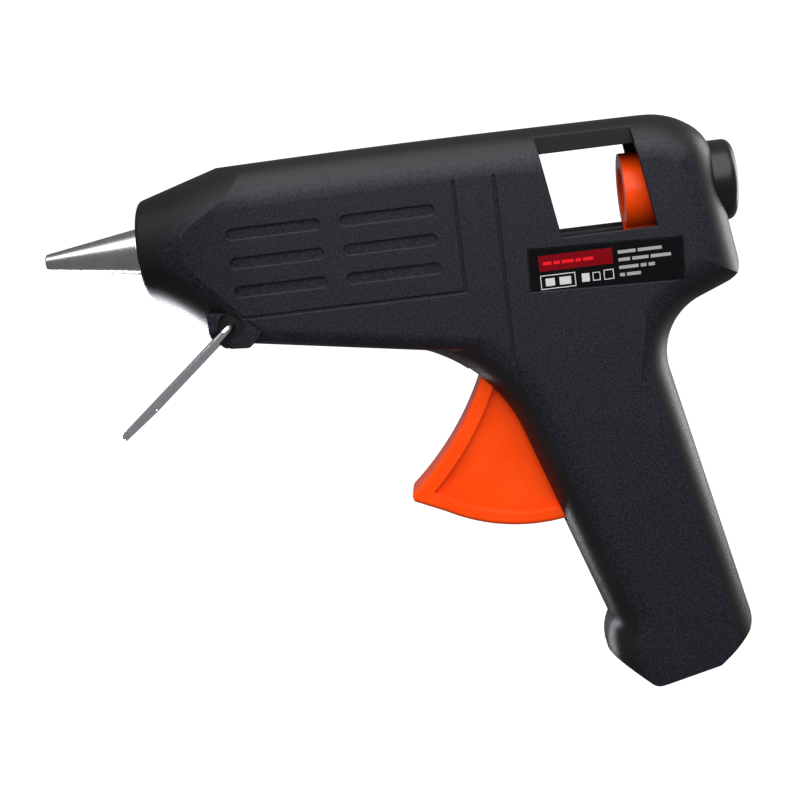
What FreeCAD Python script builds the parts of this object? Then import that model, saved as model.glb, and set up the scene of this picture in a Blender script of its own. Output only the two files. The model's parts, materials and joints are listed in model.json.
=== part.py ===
import FreeCAD, Part

import math
import os

from FreeCAD import Placement, Rotation, Vector

os.makedirs("parts", exist_ok=True)

# A hot-melt glue gun for 11 mm sticks.  Everything is modelled in the gun frame: the glue stick's
# axis is X, the nozzle tip is at the origin, +X runs to the rear, +Z is up and the gun's left side
# faces -Y.  At the end every piece is turned to the standing pose, on the wire stand and the
# handle's toe.  All sizes are in millimetres.

# ---- stick and clearances
STICK_D = 11.2
FIT = 0.05            # radial clearance of a running fit
GAP = 0.4             # clearance between parts that move past each other
SEAT = 0.1            # clearance between a piece and the pocket that holds it

# ---- housing
HALF_WIDTH = 16.0     # from the parting plane to the flat sides
WALL = 2.2
RIB_T = 2.2
TOP_FRONT_Z = 19.2    # the top line's level at its front end; it is slightly crowned
CROWN = (95.0, 20.25, 3000.0)
SHOULDER_R = 11.0     # rounding of the long top edges
TOP_BACK = (169.6, 19.47, 20.0)   # where the top line turns down to the rear
REAR_TOP = (179.2, 12.55, 12.0)   # where it meets the sloping rear face
REAR_SLOPE = 0.168    # the rear face leans back this much per unit down
REAR_CORNER_R = 8.0   # curve from the rear face into the slope behind the hand
UNDER_X = 27.9        # a point on the barrel's lower line
UNDER_Z = -22.92
UNDER_SLOPE = -0.16
UNDER_R = 4.9         # rounding of the barrel's lower edges
BARREL_X0 = 10.0      # where the housing's uncut solids start, ahead of the collar
BARREL_END_X = 158.0  # where the barrel's own solid ends inside the grip
BARREL_BEND_X = 133.0
BARREL_BEND_R = 40.0
BARREL_LOW = (152.1, -65.2)
FAR = 240.0           # beyond the object, for the ends of cutting solids
HIGH = 60.0
LOW = -230.0

# ---- grip; the points near its end follow the toe when the grip gets longer
GRIP_END_Z = -133.45   # level of the toe
GRIP_LEAN = 0.2255    # the grip's back line goes this much rearwards per unit down
GRIP_FRONT_R = 12.0   # rounding of the grip's front edges
GRIP_BACK_R = 10.5    # rounding of the grip's back edges
GRIP_TOP_X = 115.2    # where the grip's front line meets the barrel's lower line
GRIP_TOP_R = 40.0
BACK_X = 161.15        # the hollow behind the grip, for the web of the thumb
BACK_Z = -34.44
BACK_R = 16.0
BACK_SLOPE = 0.4      # rise of the housing behind that hollow
TOE_FROM_BACK = -31.88
TOE_R = 3.0
HEEL = (17.7, 4.55)    # from the toe
HEEL_R = 2.0
BACK_CORNER_RISE = 14.0
BACK_CORNER_R = 5.5
TOE_SLOPE = -0.79
HOOK = (-9.65, 17.25)  # the notch over the finger rest, from the toe
HOOK_R = 3.0
BULGE = (-12.6, 11.0)
BULGE_R = 13.0
BULGE_LOW = (-2.3, -18.05)

# ---- tapered front
COLLAR_X = 27.5
COLLAR_R = 13.3
COLLAR_RIM_R = 1.6
TAPER_TOP = 0.29     # rise of the top line per unit length
TAPER_SIDE = 0.225    # the same to each side
TAPER_UNDER = [(6.0, 16.5), (12.0, 21.2), (32.5, 39.0)]   # depth at distances behind the collar

# ---- nozzle and melt chamber
TIP_R = 2.3
NOZZLE_R = 6.3
NOZZLE_CONE_X = 26.0
NOZZLE_END_X = 29.6
THREAD_R = 4.0
THREAD_END_X = 38.0
ORIFICE_R = 1.0
MELT_BORE_R = 1.9
NOSE_R = 6.5
STICK_BORE_R = STICK_D / 2 + 0.3
NECK_R = STICK_BORE_R + 1.5
CHAMBER_R = NECK_R + 1.1
CHAMBER_X0 = 30.2
CHAMBER_X1 = 79.0
NECK_END_X = 90.0
FIN_X = [46.0, 53.0, 60.0, 67.0]
FIN_GAP = 2.5
FIN_DEPTH = 3.0
HEATER_X0 = 44.0
HEATER_HALF = 6.0
HEATER_TOP_Z = -(CHAMBER_R + 1.0)
HEATER_DEPTH = 5.0
BLOCK_HALF = 8.0
BLOCK_FLOOR = 1.8
INSULATION_T = 0.25
ELECTRODE_T = 0.4
TAB_W = 3.0
TAB_REACH = 2.6
PTC_T = HEATER_DEPTH - 2 * (INSULATION_T + ELECTRODE_T) - 0.2
PTC_LENGTH = 9.0
PTC_HALF = 4.5
CLIP_X0 = 54.0
CLIP_X1 = 68.0
CLIP_T = 0.8

# ---- front insulator, sleeve, guide and inlet
COLLAR_LIP_X = 31.0
RING_POCKET_R = 10.3
INSULATOR_X1 = 35.0
SLEEVE_WALL = 1.5
SLEEVE_X1 = 110.6
CHAMBER_RIB_X = 84.5
CHAMBER_RIB_LOW_Z = -19.0
CLAMP_W = 2.2
CLAMP_T = 0.6
GUIDE_X0 = 111.0
GUIDE_X1 = 118.0
GUIDE_RIB_X = 113.4
PATH_R = STICK_D / 2 + 0.9   # free radius round the stick in the ring and the guide
GUIDE_R = PATH_R + 1.9
BUSH_BORE_R = STICK_D / 2 + 0.4
BUSH_R = BUSH_BORE_R + 4.7
BUSH_X0 = 174.0
BUSH_X1 = 185.95
BUSH_RIM_R = 2.4

# ---- carriage
RING_X0 = 156.4
RING_X1 = 166.0
RING_R = PATH_R + 3.7
NECK_HALF = 4.0
FLOOR_T = 1.6
FLOOR_X0 = 131.0
FLOOR_X1 = 168.0
FLOOR_TOP_Z = -math.sqrt(RING_R ** 2 - (NECK_HALF + GAP) ** 2) - 0.5
CHEEK_X0 = 123.6
CHEEK_TOP_Z = FLOOR_TOP_Z - FLOOR_T - GAP
LINK_Z = CHEEK_TOP_Z - 3.8        # height of the link pin at both ends of the stroke
CHEEK_BOTTOM_Z = LINK_Z - 3.1
RIB_LOW_Z = FLOOR_TOP_Z - 0.7
GRIPPER_X = 160.6
GRIPPER_Z = CHEEK_TOP_Z - 2.3
GRIPPER_HALF = 1.2
GRIPPER_PIN_R = 1.0
GRIPPER_REACH = 2.6
TEETH = 4
TOOTH = 1.3

# ---- trigger
PIVOT_X = 123.9
PIVOT_Z = -36.85
TRIGGER_R = 49.4      # from the pivot to the round foot
TRIGGER_HALF = 7.5
TRIGGER_EDGE_R = 1.2
WEB_HALF = TRIGGER_HALF - 1.9
BAND_W = 4.0
FOOT_BAND_W = 3.5
FINGER_TOP = (113.75, -43.9)
FINGER_MID = (107.2, -56.1)
FINGER_LOW = (95.6, -70.4)
LIP_R = 1.6
LIP_DROP = 1.5         # how far the lip hangs below the round foot
LIP_END_ANGLE = -29.0  # where the lip has run out into the foot
TRIGGER_SWING = 28.0
REAR_ANGLE = 17.7     # the trigger's rear end, from straight down
PIVOT_PIN_R = 2.0
HUB_R = 6.5
ARM_HALF = 3.0
ARM_TIP_R = 4.0
LINK_PIN_R = 1.5
LINK_RISE = LINK_Z - PIVOT_Z
LINK_X = PIVOT_X + LINK_RISE * math.tan(math.radians(TRIGGER_SWING / 2))
SLOT_HALF = TRIGGER_HALF + 0.5
PIVOT_BOSS_Y = SLOT_HALF + SEAT
PIVOT_BOSS_R = 5.0
CHEEK_IN = ARM_HALF + 0.6
CHEEK_OUT = CHEEK_IN + 3.4
REAR_TRACK_T = 0.7    # slot for the trigger's rear edge in the grip's front

# ---- return spring
SPRING_R = 2.1
SPRING_WIRE_R = 0.4
SPRING_Y = HALF_WIDTH - WALL - SPRING_R - 1.2
SPRING_X0 = 96.5
SPRING_TURNS = 9
SPRING_POST_T = 3.0
SPRING_PEG_R = SPRING_R - SPRING_WIRE_R - 0.3

# ---- side window
WINDOW = [(134.1, 17.9), (158.6, 17.9), (163.3, -8.9), (138.6, -8.9)]
WINDOW_TOP_Z = 12.8   # above this the window is only a notch in the shoulder
NOTCH_Y = HALF_WIDTH - 4.0

# ---- wire stand and its lug
STAND_X = 49.9
STAND_Z = -21.45
STAND_FOOT_X = 18.2
STAND_FOOT_Z = -47.2
STAND_WIRE_R = 1.0
STAND_TOP_Y = HALF_WIDTH + 1.5
STAND_FOOT_Y = HALF_WIDTH + 4.0
STAND_TAIL_Y = HALF_WIDTH - 5.0
STAND_BEND_R = 2.2
STAND_BOSS_R = 4.0
LUG = [(44.0, -17.5), (44.0, -24.1, 1.5), (47.5, -27.3, 1.6), (54.2, -27.8, 1.6), (57.0, -25.3),
       (60.0, -20.0)]
LUG_HALF = HALF_WIDTH - 0.4
LUG_POCKET_R = 3.4
LUG_POCKET_DEPTH = 1.6
LUG_POCKET_REACH = 12.0
LUG_POCKET_ANGLES = (196.0, 262.0)

# ---- terminal block and cord inlet in the grip, placed from the toe
INLET_R = 3.6
INLET_DEPTH = 14.0
TERMINAL_FROM_TOE = (4.6, 29.0)
TERMINAL_HALF = 6.5
TERMINAL_LENGTH = 14.0
TERMINAL_HEIGHT = 9.0
TERMINAL_PORT_Y = 3.2
TERMINAL_PORT_R = 1.2
TERMINAL_HEAD_R = 2.0
LEAD_R = 0.9
LEAD_BEND = 6.0

# ---- fasteners
BARREL_SCREWS = [(64.0, 13.4), (106.0, 13.4), (66.0, -22.6), (104.0, -28.6), (172.6, -19.0)]
GRIP_SCREWS = [(-7.3, 37.0), (-1.9, 8.4)]   # from the toe
SCREW_R = 1.45
SCREW_HEAD_R = 2.8
SCREW_HEAD_Y = HALF_WIDTH - 5.0
SCREW_HEAD_T = 2.0
SCREW_SLOT = 0.7
SCREW_TIP_Y = 7.0 - HALF_WIDTH
BOSS_R = 3.6

# ---- shallow marks in the sides
GROOVE_W = 0.8
GROOVE_D = 0.5
SLOT_LENGTH = 24.6
SLOT_W = 2.95
SLOT_D = 0.8
SLOT_COLUMNS = [64.6, 94.4]
SLOT_ROWS = [2.3, -5.3, -12.8]
PANEL_LEFT_X = 51.6
PANEL_LINES_X = [112.3, 122.8]
PANEL_TOP_Z = 9.2
PANEL_LOW_Z = -19.8
LABEL_X = 149.2
LABEL_Z = -17.1
LABEL_LENGTH = 39.6
LABEL_HEIGHT = 10.6
LABEL_T = 0.3
LABEL_TILT = 2.0
LABEL_SINK = 0.35
LABEL_MARGIN = 0.3


# ---------------------------------------------------------------- plain solids
def box(x0, x1, y0, y1, z0, z1):
    return Part.makeBox(x1 - x0, y1 - y0, z1 - z0, Vector(x0, y0, z0))


def rod(x, z, radius, y0, y1):
    """A round bar across the gun."""
    return Part.makeCylinder(radius, y1 - y0, Vector(x, y0, z), Vector(0, 1, 0))


def bar_x(x0, x1, radius, y=0.0, z=0.0):
    """A round bar along the gun."""
    return Part.makeCylinder(radius, x1 - x0, Vector(x0, y, z), Vector(1, 0, 0))


def turned(profile):
    """A solid of revolution about the stick's axis, from (x, radius) corners."""
    points = [Vector(x, 0, r) for x, r in profile]
    face = Part.Face(Part.makePolygon(points + points[:1]))
    return face.revolve(Vector(0, 0, 0), Vector(1, 0, 0), 360)


def with_radius(corner):
    return corner if len(corner) == 3 else (corner[0], corner[1], 0.0)


def inset_outline(corners, amount):
    """The outline moved inwards: outer corners get tighter and inner corners wider."""
    corners = [with_radius(c) for c in corners]
    count = len(corners)
    area = sum(corners[i - 1][0] * corners[i][1] - corners[i][0] * corners[i - 1][1]
               for i in range(count))
    side = 1 if area > 0 else -1
    moved = []
    for i in range(count):
        before, here, after = corners[i - 1], corners[i], corners[(i + 1) % count]
        u = Vector(here[0] - before[0], 0, here[1] - before[1]).normalize()
        w = Vector(after[0] - here[0], 0, after[1] - here[1]).normalize()
        nu = Vector(-u.z, 0, u.x) * side
        nw = Vector(-w.z, 0, w.x) * side
        shift = (nu + nw) * (amount / (1 + nu.dot(nw)))
        outer = (u.x * w.z - u.z * w.x) * side > 0
        radius = here[2] - amount if outer else here[2] + amount
        moved.append((here[0] + shift.x, here[1] + shift.z, max(radius, 0.0) if here[2] else 0.0))
    return moved


def outline_wire(corners):
    """A closed wire in the XZ plane with tangent arcs at the corners that have a radius."""
    corners = [with_radius(c) for c in corners]
    count = len(corners)
    points = [Vector(c[0], 0, c[1]) for c in corners]
    ends = []
    for i in range(count):
        here, radius = points[i], corners[i][2]
        u = (points[i - 1] - here).normalize()
        w = (points[(i + 1) % count] - here).normalize()
        if radius <= 0:
            ends.append((here, None, here))
            continue
        half = u.getAngle(w) / 2
        reach = radius / math.tan(half)
        middle = here + (u + w).normalize() * (radius / math.sin(half) - radius)
        ends.append((here + u * reach, middle, here + w * reach))
    edges = []
    for i in range(count):
        start, middle, end = ends[i]
        if middle is not None:
            edges.append(Part.Arc(start, middle, end).toShape())
        following = ends[(i + 1) % count][0]
        if (following - end).Length > 1e-6:
            edges.append(Part.makeLine(end, following))
    return Part.Wire(edges)


def prism(corners, y0, y1):
    face = Part.Face(outline_wire(corners))
    face.translate(Vector(0, y0, 0))
    return face.extrude(Vector(0, y1 - y0, 0))


def stadium(x, z, length, width, y0, y1):
    """A flat bar with round ends, along X, centred on (x, z)."""
    radius = width / 2
    reach = length / 2 - radius
    middle = box(x - reach, x + reach, y0, y1, z - radius, z + radius)
    return middle.fuse([rod(x - reach, z, radius, y0, y1), rod(x + reach, z, radius, y0, y1)])


def column(corners, amount, radius, rounded):
    """A prism as wide as the housing whose long edges in the given stretch are rounded."""
    half = HALF_WIDTH - amount
    solid = prism(inset_outline(corners, amount), -half, half)
    chosen = []
    for edge in solid.Edges:
        middle = edge.valueAt((edge.FirstParameter + edge.LastParameter) / 2)
        if abs(abs(middle.y) - half) < 1e-4 and rounded(middle):
            chosen.append(edge)
    return solid.makeFillet(radius - amount, chosen)


# ---------------------------------------------------------------- housing
def under_z(x):
    """The barrel's lower line."""
    return UNDER_Z + UNDER_SLOPE * (x - UNDER_X)


def back_x(z):
    """The grip's back line."""
    return BACK_X + GRIP_LEAN * (BACK_Z - z)


TOE = (back_x(GRIP_END_Z) + TOE_FROM_BACK, GRIP_END_Z)


def from_toe(offset):
    return TOE[0] + offset[0], TOE[1] + offset[1]


HEEL_X, HEEL_Z = from_toe(HEEL)


def half_oval(x, wide, tall):
    """Half an oval across the gun, over the axis or, with a negative height, under it."""
    sign = 1 if tall > 0 else -1
    arc = Part.Arc(Vector(0, -1, 0), Vector(0, 0, sign), Vector(0, 1, 0)).toShape()
    scale = FreeCAD.Matrix()
    scale.scale(1, wide, abs(tall))
    scale.move(x, 0, 0)
    return arc.transformGeometry(scale)


def front_sections(amount):
    """Sections of the tapered front: oval above the axis and deeper below it."""
    sections = []
    for along, deep in [(0.0, COLLAR_R)] + TAPER_UNDER:
        x = COLLAR_X + along
        wide = COLLAR_R + TAPER_SIDE * along - amount
        upper = half_oval(x, wide, COLLAR_R + TAPER_TOP * along - amount)
        lower = half_oval(x, wide, amount - deep)
        sections.append(Part.Wire(Part.__sortEdges__([upper, lower])))
    return sections


def front_limit(amount):
    """All that lies within the tapered front, and everything behind it."""
    taper = Part.makeLoft(front_sections(amount), True, False)
    behind = box(COLLAR_X + TAPER_UNDER[-1][0], FAR, -2 * HALF_WIDTH, 2 * HALF_WIDTH, LOW, HIGH)
    return taper.fuse(behind)


def rear_x(z):
    """The sloping rear face."""
    return REAR_TOP[0] + REAR_SLOPE * (REAR_TOP[1] - z)


def rear_corner():
    """Where the rear face meets the slope behind the hand."""
    x = (rear_x(BACK_Z) + REAR_SLOPE * BACK_SLOPE * BACK_X) / (1 + REAR_SLOPE * BACK_SLOPE)
    return x, BACK_Z + BACK_SLOPE * (x - BACK_X), REAR_CORNER_R


def body(amount):
    """The housing's outer form, or its inner one when moved inwards by the wall."""
    back_high = (FAR, BACK_Z + BACK_SLOPE * (FAR - BACK_X))
    hollow = (BACK_X, BACK_Z, BACK_R)
    back_low = (back_x(LOW), LOW)
    corner_z = GRIP_END_Z + BACK_CORNER_RISE
    ahead = TOE[0] - 60.0
    top = column([(BARREL_X0, TOP_FRONT_Z), CROWN, TOP_BACK, REAR_TOP, (rear_x(LOW), LOW),
                  (BARREL_X0, LOW)],
                 amount, SHOULDER_R, lambda m: m.x > BARREL_X0 + 2 and m.z > LOW + 5)
    grip_front = column(
        [(BARREL_X0, under_z(BARREL_X0)), (GRIP_TOP_X, under_z(GRIP_TOP_X), GRIP_TOP_R),
         from_toe(HOOK) + (HOOK_R,), from_toe(BULGE) + (BULGE_R,), from_toe(BULGE_LOW),
         (FAR, TOE[1] + BULGE_LOW[1]), (FAR, HIGH), (BARREL_X0, HIGH)],
        amount, GRIP_FRONT_R, lambda m: BARREL_X0 + 2 < m.x < TOE[0] - 4 and m.z < 0)
    grip_back = column(
        [back_high, hollow, back_low, (ahead, LOW), (ahead, HIGH), (FAR, HIGH)],
        amount, GRIP_BACK_R, lambda m: BACK_X - 2 < m.x < FAR - 12 and LOW + 5 < m.z < -10)
    grip_end = prism(inset_outline(
        [(FAR, BACK_Z), (back_x(2 * BACK_Z), 2 * BACK_Z), (back_x(corner_z), corner_z, BACK_CORNER_R),
         (HEEL_X, HEEL_Z, HEEL_R), TOE + (TOE_R,), (ahead, TOE[1] - TOE_SLOPE * (TOE[0] - ahead)),
         (ahead, HIGH), (FAR, HIGH)], amount), -2 * HALF_WIDTH, 2 * HALF_WIDTH)
    rear_limit = prism(inset_outline(
        [(rear_x(HIGH), HIGH), rear_corner(), hollow, back_low, (-FAR, LOW), (-FAR, HIGH)],
        amount), -2 * HALF_WIDTH, 2 * HALF_WIDTH)
    barrel = column(
        [(BARREL_X0, under_z(BARREL_X0)), (BARREL_BEND_X, under_z(BARREL_BEND_X), BARREL_BEND_R),
         BARREL_LOW, (BARREL_END_X, BACK_Z), (BARREL_END_X, HIGH), (BARREL_X0, HIGH)],
        amount, UNDER_R, lambda m: BARREL_X0 + 2 < m.x < BARREL_LOW[0] - 3 and m.z < -10)
    grip = grip_front.common(grip_back).common(grip_end)
    limit = top.common(rear_limit).common(front_limit(amount))
    return barrel.common(limit).fuse(grip.common(limit)).removeSplitter()


def rounded_rim(shape):
    """The housing with a small rounding round the collar's front."""
    rim = [e for e in shape.Edges if e.BoundBox.XMax < COLLAR_X + 0.01]
    return shape.makeFillet(COLLAR_RIM_R, rim)


def side_box(side, x0, x1, y0, y1, z0, z1):
    """A box on one side of the parting plane, from y0 to y1 away from it."""
    if side > 0:
        return box(x0, x1, y0, y1, z0, z1)
    return box(x0, x1, -y1, -y0, z0, z1)


def side_rod(side, x, z, radius, y0, y1):
    if side > 0:
        return rod(x, z, radius, y0, y1)
    return rod(x, z, radius, -y1, -y0)


def side_prism(side, corners, y0, y1):
    if side > 0:
        return prism(corners, y0, y1)
    return prism(corners, -y1, -y0)


def inlet_frame():
    """The middle of the grip's end face and the direction that faces out of it."""
    run = Vector(HEEL_X - TOE[0], 0, HEEL_Z - TOE[1]).normalize()
    out = Vector(run.z, 0, -run.x)
    return Vector((HEEL_X + TOE[0]) / 2, 0, (HEEL_Z + TOE[1]) / 2), out


OUTER = rounded_rim(body(0.0))
INNER = body(WALL).common(box(THREAD_END_X - 1.5, FAR, -FAR, FAR, LOW, HIGH))
SCREW_POINTS = BARREL_SCREWS + [from_toe(offset) for offset in GRIP_SCREWS]
TERMINAL_X, TERMINAL_Z = from_toe(TERMINAL_FROM_TOE)


def screw_cuts(side):
    cuts = []
    for x, z in SCREW_POINTS:
        if side > 0:
            cuts.append(rod(x, z, SCREW_R + 0.2, -1, SCREW_HEAD_Y + 1))
            cuts.append(rod(x, z, SCREW_HEAD_R + 0.3, SCREW_HEAD_Y, HALF_WIDTH + 5))
        else:
            cuts.append(rod(x, z, SCREW_R, SCREW_TIP_Y - 0.5, 1))
    return cuts


def side_marks(side):
    """Shallow grooves and slots in the flat side."""
    y0 = HALF_WIDTH - GROOVE_D
    y1 = HALF_WIDTH + 2
    half = GROOVE_W / 2
    marks = []
    for x in SLOT_COLUMNS:
        for z in SLOT_ROWS:
            slot = stadium(x, z, SLOT_LENGTH, SLOT_W, HALF_WIDTH - SLOT_D, y1)
            if side < 0:
                slot = slot.mirror(Vector(0, 0, 0), Vector(0, 1, 0))
            marks.append(slot)
    first, second = PANEL_LINES_X
    marks.append(side_box(side, first - half, first + half, y0, y1, PANEL_LOW_Z - half, PANEL_TOP_Z))
    marks.append(side_box(side, PANEL_LEFT_X, first + half, y0, y1,
                          PANEL_LOW_Z - half, PANEL_LOW_Z + half))
    marks.append(side_box(side, second - half, second + half, y0, y1,
                          under_z(second) - 2, PANEL_TOP_Z))
    return marks


def label_plate(margin, y0, y1):
    """The rating label's outline, enlarged by the margin, between two depths."""
    half_l = LABEL_LENGTH / 2 + margin
    half_h = LABEL_HEIGHT / 2 + margin
    plate = prism([(-half_l, -half_h), (half_l, -half_h), (half_l, half_h), (-half_l, half_h)],
                  y0, y1)
    plate.rotate(Vector(0, 0, 0), Vector(0, 1, 0), LABEL_TILT)
    plate.translate(Vector(LABEL_X, 0, LABEL_Z))
    return plate


def lug_pocket(side):
    """The recess that the wire folds in, round its pivot and out through the lug's lower edge."""
    y0 = HALF_WIDTH - LUG_POCKET_DEPTH
    corners = [(STAND_X, STAND_Z)]
    for angle in LUG_POCKET_ANGLES:
        turn = math.radians(angle)
        corners.append((STAND_X + LUG_POCKET_REACH * math.cos(turn),
                        STAND_Z + LUG_POCKET_REACH * math.sin(turn)))
    wedge = side_prism(side, corners, y0, HALF_WIDTH + 4)
    return wedge.fuse(side_rod(side, STAND_X, STAND_Z, LUG_POCKET_R, y0, HALF_WIDTH + 4))


def housing_ribs(side):
    """Ribs, floors, collars and bosses that grow inwards from the wall."""
    reach = HALF_WIDTH * 2
    chamber_rib = side_box(side, CHAMBER_RIB_X, CHAMBER_RIB_X + RIB_T, 0, reach,
                           CHAMBER_RIB_LOW_Z, HIGH)
    guide_rib = side_box(side, GUIDE_RIB_X, GUIDE_RIB_X + RIB_T, 0, reach, RIB_LOW_Z, HIGH)
    ledge_z = CHEEK_BOTTOM_Z - GAP
    ribs = [
        chamber_rib.cut(bar_x(0, FAR, NECK_R + SEAT)),
        guide_rib.cut(bar_x(0, FAR, GUIDE_R + SEAT)),
        side_box(side, FLOOR_X0, FLOOR_X1, NECK_HALF + GAP, reach,
                 FLOOR_TOP_Z - FLOOR_T, FLOOR_TOP_Z),
        side_box(side, PIVOT_X - 2, FLOOR_X1, CHEEK_IN, reach, ledge_z - FLOOR_T, ledge_z),
        side_box(side, WINDOW[0][0] - RIB_T, WINDOW[1][0] + RIB_T, NOTCH_Y - WALL, reach,
                 WINDOW_TOP_Z, CROWN[1]),
        bar_x(BUSH_X0 - 1, FAR, BUSH_R + SEAT + WALL),
        side_rod(side, PIVOT_X, PIVOT_Z, PIVOT_BOSS_R, PIVOT_BOSS_Y, reach),
        side_rod(side, STAND_X, STAND_Z, STAND_BOSS_R, STAND_TAIL_Y - WALL, reach),
        side_box(side, TERMINAL_X - 4, TERMINAL_X + 4, TERMINAL_HALF + SEAT, reach,
                 TERMINAL_Z - 3, TERMINAL_Z + 3),
    ]
    for x, z in SCREW_POINTS:
        ribs.append(side_rod(side, x, z, BOSS_R, 0, reach))
    middle, out = inlet_frame()
    ribs.append(Part.makeCylinder(INLET_R + WALL, INLET_DEPTH, middle - out * INLET_DEPTH, out))
    if side > 0:
        ribs.append(box(SPRING_X0 - SPRING_POST_T, SPRING_X0, SPRING_Y - SPRING_R - 1.1, reach,
                        CHEEK_BOTTOM_Z, RIB_LOW_Z))
    return ribs[0].fuse(ribs[1:])


def trigger_slot():
    """The room that the trigger swings in, open through the barrel's underside and the grip."""
    reach = TRIGGER_R + 0.8
    sweep = rod(PIVOT_X, PIVOT_Z, reach, -SLOT_HALF, SLOT_HALF)
    top_x = PIVOT_X - 13.2
    wide = prism([(top_x, PIVOT_Z + 4.7), (top_x, PIVOT_Z - 14.3),
                  (PIVOT_X - 33, PIVOT_Z - 52), (PIVOT_X + 17, PIVOT_Z - 62),
                  (PIVOT_X + 27, PIVOT_Z - 42), (PIVOT_X + 17, PIVOT_Z + 4.7)],
                 -SLOT_HALF, SLOT_HALF)
    return sweep.common(wide)


def rear_track():
    """A narrow slot down the grip's front edge, between the trigger and the finger rest."""
    hook_x, hook_z = from_toe(HOOK)
    top_x = hook_x - 9.2
    top_z = hook_z + 31.0
    half = REAR_TRACK_T / 2
    return prism([(top_x - 0.3, top_z), (hook_x - 1.3, hook_z), (hook_x + 1.3, hook_z),
                  (top_x + 2.7, top_z)], -half, half)


def housing_half(side):
    half = side_box(side, 0, FAR, 0, 60, LOW, 80)
    outer = OUTER.fuse(prism(LUG, -LUG_HALF, LUG_HALF)).common(half)
    inner = INNER.common(half)
    shell = outer.cut(inner).fuse(housing_ribs(side).common(inner))
    if side > 0:
        shell = shell.fuse(bar_x(SPRING_X0 - 0.5, SPRING_X0 + 3, SPRING_PEG_R, SPRING_Y, LINK_Z))

    middle, out = inlet_frame()
    window = side_prism(side, WINDOW, -1, 40)
    cuts = [
        bar_x(0, COLLAR_LIP_X, NOZZLE_R + 0.9),
        bar_x(COLLAR_LIP_X, INSULATOR_X1, RING_POCKET_R),
        bar_x(INSULATOR_X1 - 1, THREAD_END_X, NOSE_R + 1.0),
        bar_x(BUSH_X0 - 2, FAR, BUSH_R + SEAT),
        window.common(box(0, FAR, -60, 60, LOW, WINDOW_TOP_Z)),
        side_prism(side, WINDOW, NOTCH_Y, 40),
        trigger_slot(),
        rear_track(),
        side_rod(side, PIVOT_X, PIVOT_Z, PIVOT_PIN_R + 0.02, 0, HALF_WIDTH - 2.5),
        lug_pocket(side),
        side_rod(side, STAND_X, STAND_Z, STAND_WIRE_R + SEAT, STAND_TAIL_Y - 0.5, 30),
        Part.makeCylinder(INLET_R, INLET_DEPTH + 4, middle - out * (INLET_DEPTH + 2), out),
    ]
    cuts += screw_cuts(side)
    cuts += side_marks(side)
    if side < 0:
        cuts.append(label_plate(LABEL_MARGIN, -HALF_WIDTH - 3, LABEL_SINK - HALF_WIDTH))
    return shell.cut(cuts)


# ---------------------------------------------------------------- heated end
def nozzle():
    return turned([(0.0, ORIFICE_R), (0.0, TIP_R - 0.3), (0.3, TIP_R), (NOZZLE_CONE_X, NOZZLE_R),
                   (NOZZLE_END_X, NOZZLE_R), (NOZZLE_END_X, THREAD_R), (THREAD_END_X, THREAD_R),
                   (THREAD_END_X, MELT_BORE_R), (4.0, MELT_BORE_R), (3.0, ORIFICE_R)])


def melt_chamber():
    shape = turned([(CHAMBER_X0, 0), (CHAMBER_X0, NOSE_R), (THREAD_END_X + 1, NOSE_R),
                    (THREAD_END_X + 1, CHAMBER_R), (CHAMBER_X1, CHAMBER_R), (CHAMBER_X1, NECK_R),
                    (NECK_END_X, NECK_R), (NECK_END_X, 0)])
    block_low = HEATER_TOP_Z - HEATER_DEPTH - BLOCK_FLOOR
    block = box(HEATER_X0 - 2, CHAMBER_X1 - 1, -BLOCK_HALF, BLOCK_HALF, block_low, 0)
    shape = shape.fuse(block)
    bore = turned([(CHAMBER_X0 - 1, 0), (CHAMBER_X0 - 1, THREAD_R + 0.02),
                   (THREAD_END_X + 0.2, THREAD_R + 0.02), (THREAD_END_X + 0.2, 2.2),
                   (41.0, 2.2), (50.0, STICK_BORE_R), (NECK_END_X - 3, STICK_BORE_R),
                   (NECK_END_X + 1, STICK_BORE_R + 1.0), (NECK_END_X + 1, 0)])
    pocket = box(HEATER_X0, CHAMBER_X1, -HEATER_HALF, HEATER_HALF,
                 HEATER_TOP_Z - HEATER_DEPTH, HEATER_TOP_Z)
    fins = [box(x, x + FIN_GAP, -20, 20, CHAMBER_R - FIN_DEPTH, 20) for x in FIN_X]
    return shape.cut([bore, pocket] + fins)


def heater_insulation():
    """A flat sleeve of film round the heater."""
    low = HEATER_TOP_Z - HEATER_DEPTH + 0.05
    high = HEATER_TOP_Z - 0.05
    half = HEATER_HALF - 0.05
    x0 = HEATER_X0 + 0.3
    x1 = CHAMBER_X1 - 0.6
    outside = box(x0, x1, -half, half, low, high)
    return outside.cut(box(x0 - 1, x1 + 1, -half + INSULATION_T, half - INSULATION_T,
                           low + INSULATION_T, high - INSULATION_T))


def heater_electrodes():
    """Two contact plates with a tab each for the leads."""
    low = HEATER_TOP_Z - HEATER_DEPTH + 0.1 + INSULATION_T
    high = HEATER_TOP_Z - 0.1 - INSULATION_T
    half = HEATER_HALF - 0.6
    x0 = HEATER_X0 + 1.0
    x1 = CHAMBER_X1 - 1.0
    lower = box(x0, x1, -half, half, low, low + ELECTRODE_T)
    upper = box(x0, x1, -half, half, high - ELECTRODE_T, high)
    lower_tab = box(x1 - 0.5, x1 + TAB_REACH, -half, TAB_W - half, low, low + ELECTRODE_T)
    upper_tab = box(x1 - 0.5, x1 + TAB_REACH, half - TAB_W, half, high - ELECTRODE_T, high)
    return Part.Compound([lower.fuse(lower_tab), upper.fuse(upper_tab)])


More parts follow.
